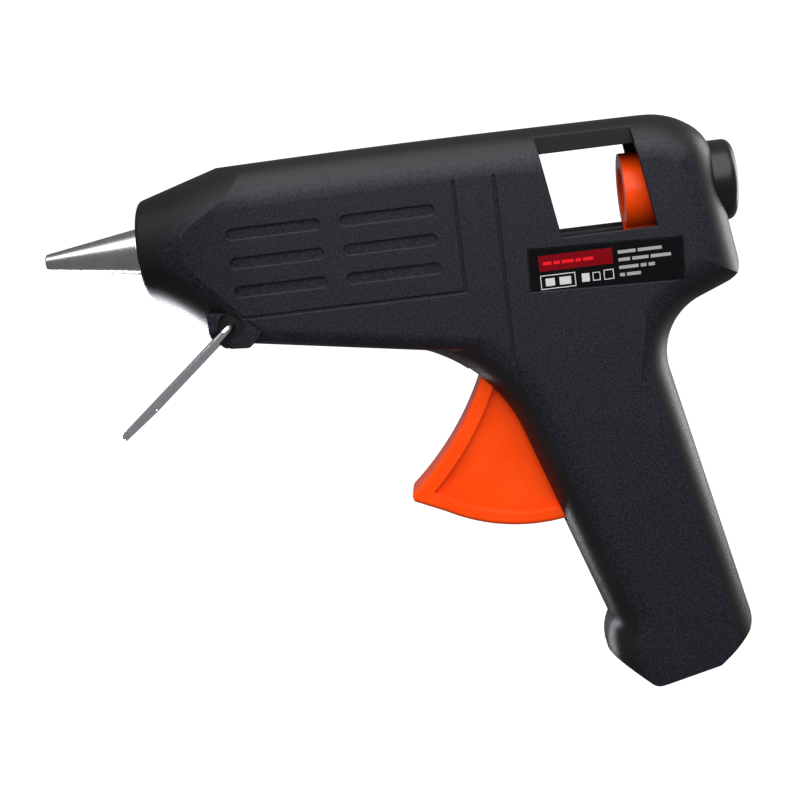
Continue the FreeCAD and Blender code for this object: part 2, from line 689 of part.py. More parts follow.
def ptc_stones():
    low = HEATER_TOP_Z - HEATER_DEPTH + 0.1 + INSULATION_T + ELECTRODE_T
    stones = []
    for i in range(3):
        x0 = HEATER_X0 + 2.0 + i * (PTC_LENGTH + 1.0)
        stones.append(box(x0, x0 + PTC_LENGTH, -PTC_HALF, PTC_HALF, low, low + PTC_T))
    return Part.Compound(stones)


def heater_clip():
    """A spring clip that grips the heater block from below."""
    low = HEATER_TOP_Z - HEATER_DEPTH - BLOCK_FLOOR - SEAT
    half = BLOCK_HALF + SEAT
    clip = box(CLIP_X0, CLIP_X1, -half - CLIP_T, half + CLIP_T, low - CLIP_T, HEATER_TOP_Z)
    return clip.cut(box(CLIP_X0 - 1, CLIP_X1 + 1, -half, half, low, 0))


def front_insulator():
    return turned([(COLLAR_LIP_X + SEAT, NOSE_R + SEAT), (COLLAR_LIP_X + SEAT, RING_POCKET_R - SEAT),
                   (INSULATOR_X1 - SEAT, RING_POCKET_R - SEAT), (INSULATOR_X1 - SEAT, NOSE_R + SEAT)])


def silicone_sleeve():
    r0 = NECK_R + FIT
    r1 = STICK_D / 2 + 0.6
    x0 = CHAMBER_RIB_X + RIB_T + 0.2
    return turned([(x0, r0), (x0, r0 + SLEEVE_WALL), (NECK_END_X + 1, r0 + SLEEVE_WALL),
                   (NECK_END_X + 6, r1 + SLEEVE_WALL), (SLEEVE_X1, r1 + SLEEVE_WALL),
                   (SLEEVE_X1, r1), (NECK_END_X + 6, r1), (NECK_END_X + 1, r0)])


def sleeve_clamp():
    """An open steel ring with two ears, round the sleeve's front end."""
    inner = NECK_R + FIT + SLEEVE_WALL + 0.02
    x0 = CHAMBER_RIB_X + RIB_T + 0.9
    x1 = x0 + CLAMP_W
    ring = bar_x(x0, x1, inner + CLAMP_T)
    ears = box(x0, x1, -2 * CLAMP_T, 2 * CLAMP_T, inner - 0.5, inner + 3.0)
    gap = box(x0 - 1, x1 + 1, -CLAMP_T, CLAMP_T, inner - 2, inner + 5)
    return ring.fuse(ears).cut([bar_x(x0 - 1, x1 + 1, inner), gap])


def stick_guide():
    return turned([(GUIDE_X0, PATH_R - 0.2), (GUIDE_X0, GUIDE_R), (GUIDE_X1, GUIDE_R),
                   (GUIDE_X1, PATH_R + 1.0), (GUIDE_X1 - 3, PATH_R - 0.2)])


def inlet_bush():
    solid = bar_x(BUSH_X0, BUSH_X1, BUSH_R)
    rim = [e for e in solid.Edges if abs(e.BoundBox.XMin - BUSH_X1) < 1e-3
           and abs(e.BoundBox.XMax - BUSH_X1) < 1e-3]
    solid = solid.makeFillet(BUSH_RIM_R, rim)
    funnel = turned([(BUSH_X0 - 1, 0), (BUSH_X0 - 1, BUSH_BORE_R), (BUSH_X1 - 2.0, BUSH_BORE_R),
                     (BUSH_X1 + 1, BUSH_BORE_R + 3.0), (BUSH_X1 + 1, 0)])
    return solid.cut(funnel)


# ---------------------------------------------------------------- trigger and carriage
def polar(angle, radius):
    """A point at a radius from the trigger's pivot; the angle is from straight down, rearwards."""
    turn = math.radians(angle)
    return PIVOT_X + radius * math.sin(turn), PIVOT_Z - radius * math.cos(turn)


def at(point, y=0.0):
    return Vector(point[0], y, point[1])


def circles_meet(first, first_r, second, second_r):
    """The foremost point that two circles in the XZ plane share."""
    apart = second - first
    along = (apart.Length ** 2 + first_r ** 2 - second_r ** 2) / (2 * apart.Length)
    aside = math.sqrt(first_r ** 2 - along ** 2)
    unit = Vector(apart).normalize()
    normal = Vector(-unit.z, 0, unit.x)
    base = first + unit * along
    return min((base + normal * aside, base - normal * aside), key=lambda p: p.x)


def trigger_face(half):
    """The trigger's outline, with a rounded lip between finger face and foot, as a solid."""
    finger = Part.Arc(at(FINGER_TOP), at(FINGER_MID), at(FINGER_LOW)).toShape().Curve
    pivot = at((PIVOT_X, PIVOT_Z))
    low_r = TRIGGER_R + LIP_DROP
    lip = circles_meet(finger.Center, finger.Radius + LIP_R, pivot, low_r - LIP_R)
    lip_top = finger.Center + (lip - finger.Center).normalize() * finger.Radius
    lip_low = pivot + (lip - pivot).normalize() * low_r
    foot = at(polar(LIP_END_ANGLE, TRIGGER_R))
    lip_mid = lip + (lip_top - lip + lip_low - lip).normalize() * LIP_R
    middle = polar(-10, TRIGGER_R)
    rear = polar(REAR_ANGLE, TRIGGER_R)
    hub_back = (PIVOT_X + HUB_R - 0.5, PIVOT_Z - 2.0)
    hub_front = (PIVOT_X - HUB_R + 0.5, PIVOT_Z + 2.0)
    edges = [Part.Arc(at(FINGER_TOP), at(FINGER_MID), lip_top).toShape(),
             Part.Arc(lip_top, lip_mid, lip_low).toShape(),
             Part.makeLine(lip_low, foot),
             Part.Arc(foot, at(middle), at(rear)).toShape(),
             Part.makeLine(at(rear), at(hub_back)),
             Part.makeLine(at(hub_back), at(hub_front)),
             Part.makeLine(at(hub_front), at(FINGER_TOP))]
    face = Part.Face(Part.Wire(edges))
    face.translate(Vector(0, -half, 0))
    return face.extrude(Vector(0, 2 * half, 0))


def trigger():
    blade = trigger_face(TRIGGER_HALF)
    rounded = []
    for edge in blade.Edges:
        middle = edge.valueAt((edge.FirstParameter + edge.LastParameter) / 2)
        on_side = abs(abs(middle.y) - TRIGGER_HALF) < 1e-4
        if on_side and edge.Curve.TypeId == "Part::GeomCircle":
            rounded.append(edge)
    blade = blade.makeFillet(TRIGGER_EDGE_R, rounded)
    finger = Part.Arc(at(FINGER_TOP), at(FINGER_MID), at(FINGER_LOW)).toShape().Curve
    centre = finger.Center
    recess = rod(PIVOT_X, PIVOT_Z, TRIGGER_R - FOOT_BAND_W, WEB_HALF, TRIGGER_HALF + 3)
    recess = recess.cut([rod(centre.x, centre.z, finger.Radius + BAND_W, 0, 20),
                         rod(PIVOT_X, PIVOT_Z, HUB_R + 2.5, 0, 20),
                         box(0, FAR, -20, 20, PIVOT_Z - 4, 60)])
    mirrored = recess.mirror(Vector(0, 0, 0), Vector(0, 1, 0))
    blade = blade.cut([recess, mirrored])
    hub = rod(PIVOT_X, PIVOT_Z, HUB_R, -TRIGGER_HALF, TRIGGER_HALF)
    along = Vector(LINK_X - PIVOT_X, 0, LINK_RISE).normalize()
    across = Vector(along.z, 0, -along.x) * ARM_TIP_R
    foot = Vector(PIVOT_X, 0, PIVOT_Z)
    tip = Vector(LINK_X, 0, LINK_Z)
    corners = [foot - across, tip - across, tip + across, foot + across]
    arm = prism([(c.x, c.z) for c in corners], -ARM_HALF, ARM_HALF)
    arm = arm.fuse(rod(LINK_X, LINK_Z, ARM_TIP_R, -ARM_HALF, ARM_HALF))
    whole = blade.fuse([hub, arm])
    return whole.cut([rod(PIVOT_X, PIVOT_Z, PIVOT_PIN_R + FIT, -20, 20),
                      rod(LINK_X, LINK_Z, LINK_PIN_R, -20, 20)])


def trigger_pin():
    return rod(PIVOT_X, PIVOT_Z, PIVOT_PIN_R, 2.6 - HALF_WIDTH, HALF_WIDTH - 2.6)


def link_pin():
    return rod(LINK_X, LINK_Z, LINK_PIN_R, -CHEEK_OUT, CHEEK_OUT)


def carriage():
    ring = bar_x(RING_X0, RING_X1, RING_R)
    neck = box(RING_X0, RING_X1, -NECK_HALF, NECK_HALF, CHEEK_TOP_Z - 1, -PATH_R)
    bridge = box(RING_X0, RING_X1, -CHEEK_OUT, CHEEK_OUT, CHEEK_BOTTOM_Z, CHEEK_TOP_Z)
    cheeks = []
    for side in (1, -1):
        cheeks.append(side_box(side, CHEEK_X0, RING_X1, CHEEK_IN, CHEEK_OUT,
                               CHEEK_BOTTOM_Z, CHEEK_TOP_Z))
    lug = box(CHEEK_X0, CHEEK_X0 + 3.4, CHEEK_OUT - 1, SPRING_Y + 2.3,
              CHEEK_BOTTOM_Z + 0.6, CHEEK_TOP_Z - 0.6)
    peg = bar_x(CHEEK_X0 - 3, CHEEK_X0 + 0.5, SPRING_PEG_R, SPRING_Y, LINK_Z)
    whole = ring.fuse([neck, bridge, lug, peg] + cheeks)
    slot_half = LINK_PIN_R + 0.3
    slot = box(LINK_X - slot_half, LINK_X + slot_half, -20, CHEEK_OUT + 1,
               LINK_Z - slot_half, LINK_Z + slot_half + 0.7)
    pawl_room = GRIPPER_REACH + 1.7
    pawl_slot = box(GRIPPER_X - pawl_room, GRIPPER_X + pawl_room, -GRIPPER_HALF - GAP,
                    GRIPPER_HALF + GAP, GRIPPER_Z - 3.5, 1 - PATH_R)
    mouth = turned([(RING_X0 - 1, 0), (RING_X0 - 1, PATH_R), (RING_X1 - 2, PATH_R),
                    (RING_X1 + 0.5, PATH_R + 1.6), (RING_X1 + 0.5, 0)])
    return whole.cut([mouth, slot, pawl_slot,
                      rod(GRIPPER_X, GRIPPER_Z, GRIPPER_PIN_R, -20, 20)])


def stick_gripper():
    """A toothed pawl in the carriage's neck, just clear of the stick at rest."""
    top = -PATH_R - 0.1
    teeth = [(GRIPPER_X - GRIPPER_REACH, top - 1.4)]
    for i in range(TEETH):
        x = GRIPPER_X - GRIPPER_REACH + i * TOOTH
        teeth.append((x + 0.1, top))
        teeth.append((x + TOOTH - 0.1, top - 0.8))
    teeth.append((GRIPPER_X + GRIPPER_REACH, top - 1.4))
    foot_z = GRIPPER_Z - 2 * GRIPPER_PIN_R - 0.2
    blade = prism(teeth + [(GRIPPER_X + 2.2, foot_z), (GRIPPER_X - 2.2, foot_z)],
                  -GRIPPER_HALF, GRIPPER_HALF)
    return blade.cut(rod(GRIPPER_X, GRIPPER_Z, GRIPPER_PIN_R + FIT, -5, 5))


def gripper_pin():
    return rod(GRIPPER_X, GRIPPER_Z, GRIPPER_PIN_R, -CHEEK_OUT, CHEEK_OUT)


# ---------------------------------------------------------------- bent wires
def bent_rod(points, bend, radius):
    """A round wire through the points, with arcs of one radius at the bends."""
    edges = []
    start = points[0]
    for i in range(1, len(points) - 1):
        here = points[i]
        u = (points[i - 1] - here).normalize()
        w = (points[i + 1] - here).normalize()
        half = u.getAngle(w) / 2
        reach = bend / math.tan(half)
        enter = here + u * reach
        leave = here + w * reach
        middle = here + (u + w).normalize() * (bend / math.sin(half) - bend)
        edges.append(Part.makeLine(start, enter))
        edges.append(Part.Arc(enter, middle, leave).toShape())
        start = leave
    edges.append(Part.makeLine(start, points[-1]))
    path = Part.Wire(edges)
    section = Part.Wire(Part.makeCircle(radius, points[0], points[1] - points[0]))
    return path.makePipeShell([section], True, False)


def wire_stand():
    right = [Vector(STAND_X, STAND_TAIL_Y, STAND_Z), Vector(STAND_X, STAND_TOP_Y, STAND_Z),
             Vector(STAND_FOOT_X, STAND_FOOT_Y, STAND_FOOT_Z)]
    left = [Vector(p.x, -p.y, p.z) for p in reversed(right)]
    return bent_rod(right + left, STAND_BEND_R, STAND_WIRE_R)


def lead_wires():
    """Two insulated leads from the contact plates, past the trigger, to the terminal block."""
    lower_tab_z = HEATER_TOP_Z - HEATER_DEPTH + 0.1 + INSULATION_T
    upper_tab_z = HEATER_TOP_Z - 0.1 - INSULATION_T - ELECTRODE_T
    leads = []
    for side, tab_z in ((1, upper_tab_z), (-1, lower_tab_z)):
        points = [Vector(CHAMBER_X1 + 1.0, side * 3.9, tab_z - LEAD_R - 0.03),
                  Vector(82.0, side * 9.5, -20.8), Vector(104.0, side * 11.0, -22.4),
                  Vector(140.0, side * 11.2, -26.4), Vector(158.6, side * 10.0, -44.0),
                  Vector(TERMINAL_X + 2.5, side * 8.0, TERMINAL_Z + 26.0),
                  Vector(TERMINAL_X, side * TERMINAL_PORT_Y, TERMINAL_Z + TERMINAL_HEIGHT / 2 + 0.1)]
        leads.append(bent_rod(points, LEAD_BEND, LEAD_R))
    return Part.Compound(leads)


def return_spring():
    x0 = SPRING_X0 + 0.1
    x1 = CHEEK_X0 - 0.1
    height = x1 - x0 - 2 * SPRING_WIRE_R
    helix = Part.makeHelix(height / SPRING_TURNS, height, SPRING_R)
    section = Part.Wire(Part.makeCircle(SPRING_WIRE_R, Vector(SPRING_R, 0, 0), Vector(0, 1, 0)))
    coil = Part.Wire(helix).makePipeShell([section], True, True)
    coil.rotate(Vector(0, 0, 0), Vector(0, 1, 0), 90)
    coil.translate(Vector(x0 + SPRING_WIRE_R, SPRING_Y, LINK_Z))
    return coil


# ---------------------------------------------------------------- handle fittings
def terminal_block():
    half_l = TERMINAL_LENGTH / 2
    half_h = TERMINAL_HEIGHT / 2
    block = box(TERMINAL_X - half_l, TERMINAL_X + half_l, -TERMINAL_HALF, TERMINAL_HALF,
                TERMINAL_Z - half_h, TERMINAL_Z + half_h)
    cuts = []
    for y in (-TERMINAL_PORT_Y, TERMINAL_PORT_Y):
        cuts.append(Part.makeCylinder(TERMINAL_PORT_R, 20, Vector(TERMINAL_X, y, TERMINAL_Z - 10),
                                      Vector(0, 0, 1)))
        cuts.append(Part.makeCylinder(TERMINAL_HEAD_R, half_l + 1,
                                      Vector(TERMINAL_X + 1, y, TERMINAL_Z), Vector(1, 0, 0)))
    return block.cut(cuts)


def terminal_screws():
    screws = []
    for y in (-TERMINAL_PORT_Y, TERMINAL_PORT_Y):
        screw = Part.makeCylinder(TERMINAL_HEAD_R - SEAT, 4.0,
                                  Vector(TERMINAL_X + 1.5, y, TERMINAL_Z), Vector(1, 0, 0))
        slot = box(TERMINAL_X + 4.8, TERMINAL_X + 8, y - 0.3, y + 0.3,
                   TERMINAL_Z - 3, TERMINAL_Z + 3)
        screws.append(screw.cut(slot))
    return Part.Compound(screws)


def case_screws():
    screws = []
    top = SCREW_HEAD_Y + SCREW_HEAD_T
    half = SCREW_SLOT / 2
    arm = SCREW_HEAD_R - 1.2
    for x, z in SCREW_POINTS:
        head = rod(x, z, SCREW_HEAD_R, SCREW_HEAD_Y, top)
        shank = rod(x, z, SCREW_R - 0.05, SCREW_TIP_Y, SCREW_HEAD_Y)
        cross = box(x - arm, x + arm, top - 1.2, top + 1, z - half, z + half)
        other = box(x - half, x + half, top - 1.2, top + 1, z - arm, z + arm)
        screws.append(head.fuse(shank).cut([cross, other]))
    return Part.Compound(screws)


def rating_label():
    y0 = -HALF_WIDTH + LABEL_SINK - LABEL_T
    return label_plate(0, y0, LABEL_SINK - HALF_WIDTH)


NODES = {
    "left_shell": housing_half(-1),
    "right_shell": housing_half(1),
    "nozzle": nozzle(),
    "melt_chamber": melt_chamber(),
    "heater_insulation": heater_insulation(),
    "heater_electrodes": heater_electrodes(),
    "ptc_stones": ptc_stones(),
    "heater_clip": heater_clip(),
    "front_insulator": front_insulator(),
    "silicone_sleeve": silicone_sleeve(),
    "sleeve_clamp": sleeve_clamp(),
    "stick_guide": stick_guide(),
    "inlet_bush": inlet_bush(),
    "rating_label": rating_label(),
    "trigger": trigger(),
    "trigger_pin": trigger_pin(),
    "link_pin": link_pin(),
    "carriage": carriage(),
    "stick_gripper": stick_gripper(),
    "gripper_pin": gripper_pin(),
    "return_spring": return_spring(),
    "wire_stand": wire_stand(),
    "lead_wires": lead_wires(),
    "terminal_block": terminal_block(),
    "terminal_screws": terminal_screws(),
    "case_screws": case_screws(),
}


# ---------------------------------------------------------------- standing pose
def toe_centre():
    """The centre of the grip's rounded toe."""
    here = Vector(TOE[0], 0, TOE[1])
    u = (Vector(HEEL_X, 0, HEEL_Z) - here).normalize()
    w = Vector(-1, 0, -TOE_SLOPE).normalize()
    half = u.getAngle(w) / 2
    return here + (u + w).normalize() * (TOE_R / math.sin(half))


def standing_tilt():
    """The tilt that rests the wire stand's foot and the toe on one level surface."""
    toe = toe_centre()
    dx = STAND_FOOT_X - toe.x
    dz = STAND_FOOT_Z - toe.z
    apart = math.hypot(dx, dz)
    return math.degrees(math.atan2(dx, dz) + math.acos((STAND_WIRE_R - TOE_R) / apart))


TILT = standing_tilt()
TURN = Placement(Vector(0, 0, 0), Rotation(Vector(0, -1, 0), TILT))


def standing_placement():
    extent = FreeCAD.BoundBox()
    for name in ("left_shell", "nozzle", "wire_stand", "inlet_bush"):
        shape = NODES[name].copy()
        shape.Placement = TURN
        extent.add(shape.optimalBoundingBox(False, False))
    lift = Vector(-(extent.XMin + extent.XMax) / 2, 0, -extent.ZMin)
    return Placement(lift, TURN.Rotation)


STANDING = standing_placement()
for name, shape in NODES.items():
    standing = shape.copy()
    standing.Placement = STANDING.multiply(standing.Placement)
    standing.exportStep("parts/" + name + ".step")
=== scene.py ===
import json

import bpy
from mathutils import Matrix, Vector


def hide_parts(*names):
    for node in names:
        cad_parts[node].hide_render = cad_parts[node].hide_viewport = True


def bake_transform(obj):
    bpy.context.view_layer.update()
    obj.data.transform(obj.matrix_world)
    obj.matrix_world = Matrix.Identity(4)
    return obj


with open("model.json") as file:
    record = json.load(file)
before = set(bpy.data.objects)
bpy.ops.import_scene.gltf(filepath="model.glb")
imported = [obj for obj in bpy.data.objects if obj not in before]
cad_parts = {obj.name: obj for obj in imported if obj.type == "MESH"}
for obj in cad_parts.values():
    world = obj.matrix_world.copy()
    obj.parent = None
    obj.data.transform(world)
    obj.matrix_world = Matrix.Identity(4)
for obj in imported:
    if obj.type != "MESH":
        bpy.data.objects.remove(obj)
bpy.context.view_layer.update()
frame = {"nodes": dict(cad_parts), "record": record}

MM = 0.001

# ---------------------------------------------------------------- gun frame
# The record gives the stick's axis; the gun frame has it as X, with the nozzle tip at the origin.
STICK_MOUNT_X = 180.0
inlet = next(m for m in frame["record"]["mounts"] if m["name"] == "stick_inlet")
AXIS = Vector(inlet["axis"]).normalized()
RISE = Vector((-AXIS.z, 0.0, AXIS.x))
SIDE = Vector((0.0, 1.0, 0.0))
TIP = Vector(inlet["pos_m"]) - AXIS * STICK_MOUNT_X * MM


def gun(x, y, z):
    """A point of the gun frame, given in millimetres, in the row frame."""
    return TIP + (AXIS * x + SIDE * y + RISE * z) * MM


GUN_MATRIX = Matrix((AXIS, SIDE, RISE)).transposed().to_4x4()
GUN_MATRIX.translation = TIP


# ---------------------------------------------------------------- camera
CAMERA_AT = (114.435, -400.0, 21.625)
CAMERA_AIM = (90.849, 0.0, -48.968)
CAMERA_UP = (0.11563, 0.17924, 0.97699)
SENSOR_MM = 36.0
FOCAL_PX = 1479.5
FRAME_PX = 800.0


def add_camera():
    eye = gun(*CAMERA_AT)
    forward = (gun(*CAMERA_AIM) - eye).normalized()
    up = AXIS * CAMERA_UP[0] + SIDE * CAMERA_UP[1] + RISE * CAMERA_UP[2]
    right = forward.cross(up).normalized()
    up = right.cross(forward)
    matrix = Matrix((right, up, -forward)).transposed().to_4x4()
    matrix.translation = eye
    data = bpy.data.cameras.new("camera")
    data.sensor_width = SENSOR_MM
    data.lens = FOCAL_PX * SENSOR_MM / FRAME_PX
    data.clip_start = 0.01
    data.clip_end = 50.0
    camera = bpy.data.objects.new("camera", data)
    camera.matrix_world = matrix
    bpy.context.scene.collection.objects.link(camera)
    bpy.context.scene.camera = camera


# ---------------------------------------------------------------- material helpers
class Nodes:
    """A small builder for a material's node tree."""

    def __init__(self, name):
        self.material = bpy.data.materials.new(name)
        self.material.use_nodes = True
        self.tree = self.material.node_tree
        self.shader = next(n for n in self.tree.nodes if n.type == "BSDF_PRINCIPLED")
        self.coords = self.add("ShaderNodeTexCoord").outputs["Object"]

    def add(self, kind, **values):
        node = self.tree.nodes.new(kind)
        for key, value in values.items():
            setattr(node, key, value)
        return node

    def link(self, source, target):
        self.tree.links.new(source, target)

    def set(self, **values):
        for key, value in values.items():
            self.shader.inputs[key.replace("_", " ")].default_value = value

    def gun_coords(self):
        """Coordinates in the gun frame, in metres."""
        mapping = self.add("ShaderNodeMapping", vector_type="POINT")
        inverse = GUN_MATRIX.inverted()
        mapping.inputs["Location"].default_value = inverse.translation
        mapping.inputs["Rotation"].default_value = inverse.to_euler()
        self.link(self.coords, mapping.inputs["Vector"])
        return mapping.outputs["Vector"]

    def noise(self, size_mm, detail=2.0, rough=0.5, coords=None):
        node = self.add("ShaderNodeTexNoise")
        node.inputs["Scale"].default_value = 1.0 / (size_mm * MM)
        node.inputs["Detail"].default_value = detail
        node.inputs["Roughness"].default_value = rough
        self.link(coords or self.coords, node.inputs["Vector"])
        return node.outputs["Fac"]

    def stretch(self, coords, scale):
        mapping = self.add("ShaderNodeMapping")
        mapping.inputs["Scale"].default_value = scale
        self.link(coords, mapping.inputs["Vector"])
        return mapping.outputs["Vector"]

    def span(self, value, low, high, to_low, to_high):
        node = self.add("ShaderNodeMapRange")
        node.inputs["From Min"].default_value = low
        node.inputs["From Max"].default_value = high
        node.inputs["To Min"].default_value = to_low
        node.inputs["To Max"].default_value = to_high
        self.link(value, node.inputs["Value"])
        return node.outputs["Result"]

    def colour_mix(self, value, first, second):
        node = self.add("ShaderNodeMix", data_type="RGBA")
        node.inputs["A"].default_value = (*first, 1.0)
        node.inputs["B"].default_value = (*second, 1.0)
        self.link(value, node.inputs["Factor"])
        return node.outputs["Result"]

    def blend(self, value, first, second):
        """Mixes two colours, either of which may be a socket."""
        node = self.add("ShaderNodeMix", data_type="RGBA")
        self.link(value, node.inputs["Factor"])
        for socket, colour in (("A", first), ("B", second)):
            if isinstance(colour, tuple):
                node.inputs[socket].default_value = (*colour, 1.0)
            else:
                self.link(colour, node.inputs[socket])
        return node.outputs["Result"]

    def axis(self, coords, name):
        node = self.add("ShaderNodeSeparateXYZ")
        self.link(coords, node.inputs[0])
        return node.outputs[name]

    def size_of(self, coords, name):
        node = self.add("ShaderNodeMath", operation="ABSOLUTE")
        self.link(self.axis(coords, name), node.inputs[0])
        return node.outputs[0]

    def within(self, value, low_mm, high_mm):
        node = self.add("ShaderNodeMath", operation="COMPARE")
        self.link(value, node.inputs[0])
        node.inputs[1].default_value = (low_mm + high_mm) / 2 * MM
        node.inputs[2].default_value = (high_mm - low_mm) / 2 * MM
        return node.outputs[0]

    def mark(self, coords, x0, x1, z0, z1):
        """1 inside a rectangle of the gun's side view, else 0; its sides are in millimetres."""
        node = self.add("ShaderNodeMath", operation="MULTIPLY")
        self.link(self.within(self.axis(coords, "X"), x0, x1), node.inputs[0])
        self.link(self.within(self.axis(coords, "Z"), z0, z1), node.inputs[1])
        return node.outputs[0]

    def bump(self, height, depth_mm, strength=1.0, normal=None):
        node = self.add("ShaderNodeBump")
        node.inputs["Strength"].default_value = strength
        node.inputs["Distance"].default_value = depth_mm * MM
        self.link(height, node.inputs["Height"])
        if normal is not None:
            self.link(normal, node.inputs["Normal"])
        return node.outputs["Normal"]

    def soft_edges(self, radius_mm):
        node = self.add("ShaderNodeBevel", samples=6)
        node.inputs["Radius"].default_value = radius_mm * MM
        return node.outputs["Normal"]

    def use(self, **sockets):
        for key, source in sockets.items():
            self.link(source, self.shader.inputs[key.replace("_", " ")])


# ---------------------------------------------------------------- label print
# Places on the label are in the gun frame's side view, in millimetres: x0, x1, z0, z1.
LINE_W = 0.22
TEXT_HALF = 0.42
WORD_GAP = 0.55


def outline(x0, x1, z0, z1):
    """The four sides of a drawn box."""
    return [(x0, x1, z0, z0 + LINE_W), (x0, x1, z1 - LINE_W, z1),
            (x0, x0 + LINE_W, z0, z1), (x1 - LINE_W, x1, z0, z1)]


def text_row(x0, z, words):
    """Solid bars that stand for a row of words."""
    bars = []
    for length in words:
        bars.append((x0, x0 + length, z - TEXT_HALF, z + TEXT_HALF))
        x0 += length + WORD_GAP
    return bars


RED_BLOCK = [(131.9, 151.0, -17.0, -12.9)]
RED_BARS = text_row(133.0, -15.0, [2.2, 1.6, 3.0, 1.4, 2.6])
WHITE_SHAPES = (outline(131.9, 141.0, -21.7, -18.0) + [(133.2, 135.6, -20.9, -18.9),
                (136.8, 139.8, -20.9, -18.9), (142.6, 144.6, -20.9, -18.7)]
                + outline(145.4, 147.4, -20.9, -18.7) + outline(148.3, 150.9, -21.0, -18.4))
TEXT_ROWS = (text_row(152.4, -14.3, [4.6, 6.2]) + text_row(152.4, -16.3, [3.0, 4.2, 5.2])
             + text_row(152.4, -18.3, [5.0, 1.5, 1.6]) + text_row(152.4, -20.2, [1.3, 3.6]))
LABEL_PRINT = [(RED_BLOCK, (0.17, 0.001, 0.004)), (RED_BARS, (0.75, 0.01, 0.02)),
               (WHITE_SHAPES, (0.55, 0.55, 0.56)), (TEXT_ROWS, (0.32, 0.32, 0.33))]


# ---------------------------------------------------------------- materials
GRAIN_Y = 15.0        # the housing is grainy from here outwards, in millimetres
GRAIN_BLEND = 0.6
CONE_FADE = (38.0, 62.0)   # where the duller front gives way to the rest of the housing


def shell_plastic():
    """Moulded plastic: grainy and bluish out at the sides, satin nearer the middle."""
    m = Nodes("shell_plastic")
    m.set(IOR=1.5)
    coords = m.gun_coords()
    flat = m.span(m.size_of(coords, "Y"), (GRAIN_Y - GRAIN_BLEND) * MM, GRAIN_Y * MM, 0.0, 1.0)
    behind_cone = m.span(m.axis(coords, "X"), CONE_FADE[0] * MM, CONE_FADE[1] * MM, 0.0, 1.0)
    grain = m.noise(0.34, detail=3.0, rough=0.65)
    sparkle = m.noise(0.55, detail=3.0, rough=0.8)
    broad = m.noise(14.0, detail=3.0)
    satin = m.colour_mix(m.span(broad, 0.3, 0.7, 0.0, 1.0), (0.0062, 0.0062, 0.0064),
                         (0.0085, 0.0085, 0.0092))
    matt = m.colour_mix(m.span(sparkle, 0.40, 0.66, 0.0, 1.0), (0.0020, 0.0020, 0.0048),
                        (0.0215, 0.0215, 0.0330))
    m.use(Base_Color=m.blend(flat, satin, matt),
          Specular_IOR_Level=m.span(behind_cone, 0.0, 1.0, 0.13, 0.26),
          Roughness=m.span(grain, 0.3, 0.7, 0.38, 0.56),
          Normal=m.bump(grain, 0.05, 0.6, m.soft_edges(0.45)))
    return m.material


def smooth_black():
    m = Nodes("smooth_black")
    m.set(IOR=1.5, Specular_IOR_Level=0.3)
    broad = m.noise(6.0)
    fine = m.noise(0.5, detail=3.0)
    m.use(Base_Color=m.colour_mix(broad, (0.006, 0.006, 0.007), (0.010, 0.010, 0.012)),
          Roughness=m.span(broad, 0.3, 0.7, 0.28, 0.4),
          Normal=m.bump(fine, 0.012, 0.5, m.soft_edges(0.3)))
    return m.material


def orange_plastic():
    m = Nodes("orange_plastic")
    m.set(IOR=1.5, Specular_IOR_Level=0.2)
    broad = m.noise(9.0, detail=3.0)
    fine = m.noise(0.7, detail=3.0)
    m.use(Base_Color=m.colour_mix(m.span(broad, 0.3, 0.7, 0.0, 1.0),
                                  (1.0, 0.062, 0.001), (1.0, 0.078, 0.003)),
          Roughness=m.span(broad, 0.3, 0.7, 0.24, 0.34),
          Normal=m.bump(fine, 0.006, 0.3, m.soft_edges(0.35)))
    return m.material


def rating_label():
    """A gloss black label with generic blocks and bars in place of its print."""
    m = Nodes("label_gloss")
    m.set(IOR=1.5, Specular_IOR_Level=0.12)
    coords = m.gun_coords()
    broad = m.noise(3.0, detail=3.0)
    colour = m.colour_mix(broad, (0.0022, 0.0022, 0.0026), (0.0038, 0.0038, 0.0044))
    for marks, ink in LABEL_PRINT:
        for x0, x1, z0, z1 in marks:
            colour = m.blend(m.mark(coords, x0, x1, z0, z1), colour, ink)
    m.use(Base_Color=colour, Roughness=m.span(broad, 0.3, 0.7, 0.18, 0.26),
          Normal=m.bump(broad, 0.004, 0.4))
    return m.material


def turned_metal(name, light, dark, rough_low, rough_high, ring_mm=0.25):
    m = Nodes(name)
    m.set(Metallic=1.0)
    coords = m.gun_coords()
    rings = m.noise(ring_mm, detail=4.0, coords=m.stretch(coords, (1.0, 0.02, 0.02)))
    broad = m.noise(5.0, detail=4.0, coords=coords)
    m.use(Base_Color=m.colour_mix(m.span(broad, 0.3, 0.7, 0.0, 1.0), light, dark),
          Roughness=m.span(rings, 0.3, 0.7, rough_low, rough_high),
          Normal=m.bump(rings, 0.004, 0.25, m.soft_edges(0.15)))
    return m.material


def plain_metal(name, light, dark, rough_low, rough_high, grain_mm=1.2):
    m = Nodes(name)
    m.set(Metallic=1.0)
    grain = m.noise(grain_mm, detail=4.0)
    m.use(Base_Color=m.colour_mix(m.span(grain, 0.3, 0.7, 0.0, 1.0), light, dark),
          Roughness=m.span(grain, 0.3, 0.7, rough_low, rough_high),
          Normal=m.bump(grain, 0.006, 0.4))
    return m.material


def plain_solid(name, light, dark, rough_low, rough_high, grain_mm=1.5, depth_mm=0.01):
    m = Nodes(name)
    grain = m.noise(grain_mm, detail=4.0)
    m.use(Base_Color=m.colour_mix(m.span(grain, 0.3, 0.7, 0.0, 1.0), light, dark),
          Roughness=m.span(grain, 0.3, 0.7, rough_low, rough_high),
          Normal=m.bump(grain, depth_mm, 0.5))
    return m.material


